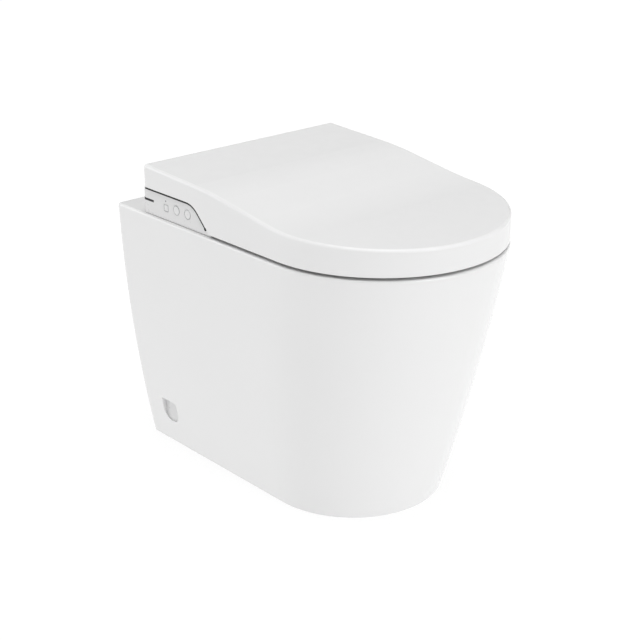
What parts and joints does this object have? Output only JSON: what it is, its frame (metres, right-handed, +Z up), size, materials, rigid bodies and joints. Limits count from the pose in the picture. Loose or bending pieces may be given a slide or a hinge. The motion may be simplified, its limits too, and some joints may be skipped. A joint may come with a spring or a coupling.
{
  "type": "smart toilet",
  "caption": "Floor-standing back-to-wall toilet with heated seat, soft-close lid and seat, wash wand, warm-air dryer and side buttons on a rear module.",
  "frame": {"origin": "on the floor, below the middle of the bounding box; the wall plane is at +Y", "axes": "+Z up; -Y is the front of the bowl, +Y the wall side; the control panel is on the -X side"},
  "size_m": [0.375, 0.5633, 0.4755],
  "materials": {
    "ceramic": "white vitreous glaze",
    "shell_white": "white gloss moulding",
    "seat_white": "white gloss moulding",
    "inner_white": "white satin moulding",
    "trim_black": "black gloss strip",
    "window_dark": "dark infra-red window",
    "grey_plastic": "grey moulding",
    "black_plastic": "black moulding",
    "rubber_black": "black rubber",
    "rubber_white": "white rubber",
    "steel": "stainless steel",
    "zinc_steel": "zinc-plated steel",
    "brass": "turned brass, nickel tone",
    "board_green": "circuit board",
    "foil": "aluminium foil",
    "hose": "silicone hose"
  },
  "bodies": {
    "pan_and_module": {"ceramic_pan": "ceramic", "ceramic_bowl": "ceramic", "ceramic_trapway": "ceramic", "ceramic_flush_channel": "ceramic", "flush_inlet_seal": "rubber_black", "floor_bracket_right": "zinc_steel", "floor_bracket_left": "zinc_steel", "side_fixing_bushes": "grey_plastic", "side_fixing_screws": "steel", "side_hole_caps": "shell_white", "mounting_plate": "steel", "plate_bolts": "steel", "plate_washers": "rubber_black", "plate_nuts": "brass", "module_chassis": "inner_white", "module_cover": "shell_white", "cover_screws": "steel", "side_panel_right": "shell_white", "side_panel_left": "shell_white", "ir_window": "window_dark", "button_membrane": "rubber_white", "button_board": "board_green", "control_board": "board_green", "power_module": "black_plastic", "power_inlet_gland": "black_plastic", "water_inlet_fitting": "brass", "water_valve": "grey_plastic", "water_pump": "black_plastic", "hose_valve_pump": "hose", "water_heater_tank": "grey_plastic", "hose_pump_tank": "hose", "hose_tank_nozzle": "hose", "nozzle_housing": "inner_white", "nozzle_motor": "steel", "dryer_housing": "black_plastic", "dryer_motor": "steel", "dryer_heater": "brass", "dryer_flap_pin": "steel", "lid_damper": "grey_plastic", "seat_damper": "grey_plastic"},
    "seat": {"seat_ring_top": "seat_white", "seat_ring_bottom": "seat_white", "seat_heater_foil": "foil", "seat_sensor": "board_green", "seat_buffers": "rubber_white", "seat_damper_shaft": "steel"},
    "lid": {"lid_shell": "shell_white", "lid_liner": "shell_white", "lid_buffers": "rubber_white", "lid_damper_shaft": "steel", "side_trim_right": "trim_black", "side_trim_left": "trim_black"},
    "wand": {"nozzle_wand": "shell_white", "nozzle_guard": "shell_white"},
    "pinion": {"nozzle_pinion": "inner_white"},
    "fan": {"dryer_wheel": "black_plastic"},
    "flap": {"dryer_flap": "shell_white"},
    "wash_key": {"wash_button": "shell_white"},
    "dry_key": {"dry_button": "shell_white"},
    "stop_key": {"stop_button": "shell_white"}
  },
  "joints": [
    {"name": "seat_hinge", "type": "hinge", "parent": "pan_and_module", "child": "seat", "pos_m": [0, 0.195, 0.459], "axis": [1, 0, 0], "range_deg": [-94, 0]},
    {"name": "lid_hinge", "type": "hinge", "parent": "seat", "child": "lid", "pos_m": [0, 0.195, 0.459], "axis": [-1, 0, 0], "range_deg": [0, 94]},
    {"name": "nozzle_slide", "type": "slide", "parent": "pan_and_module", "child": "wand", "axis": [0, -0.8988, -0.4384], "range_m": [0, 0.062]},
    {"name": "nozzle_pinion_spin", "type": "hinge", "parent": "pan_and_module", "child": "pinion", "pos_m": [0, 0.11058, 0.42983], "axis": [-1, 0, 0], "range_deg": [-5, 645]},
    {"name": "dryer_fan_spin", "type": "hinge", "parent": "pan_and_module", "child": "fan", "pos_m": [0, 0.15, 0.434], "axis": [1, 0, 0], "continuous": true},
    {"name": "dryer_flap_hinge", "type": "hinge", "parent": "pan_and_module", "child": "flap", "pos_m": [-0.04, 0.1002, 0.4179], "axis": [-1, 0, 0], "range_deg": [0, 80], "stiffness_Nm_per_rad": 0.0006, "springref_deg": -17.19},
    {"name": "wash_button_press", "type": "slide", "parent": "pan_and_module", "child": "wash_key", "axis": [1, 0, 0], "range_m": [0, 0.001], "stiffness_N_per_m": 1500},
    {"name": "dry_button_press", "type": "slide", "parent": "pan_and_module", "child": "dry_key", "axis": [1, 0, 0], "range_m": [0, 0.001], "stiffness_N_per_m": 1500},
    {"name": "stop_button_press", "type": "slide", "parent": "pan_and_module", "child": "stop_key", "axis": [1, 0, 0], "range_m": [0, 0.001], "stiffness_N_per_m": 1500}
  ],
  "couplings": [
    {"joint": "nozzle_pinion_spin", "follows": "nozzle_slide", "rad_per_m": 178.57}
  ]
}
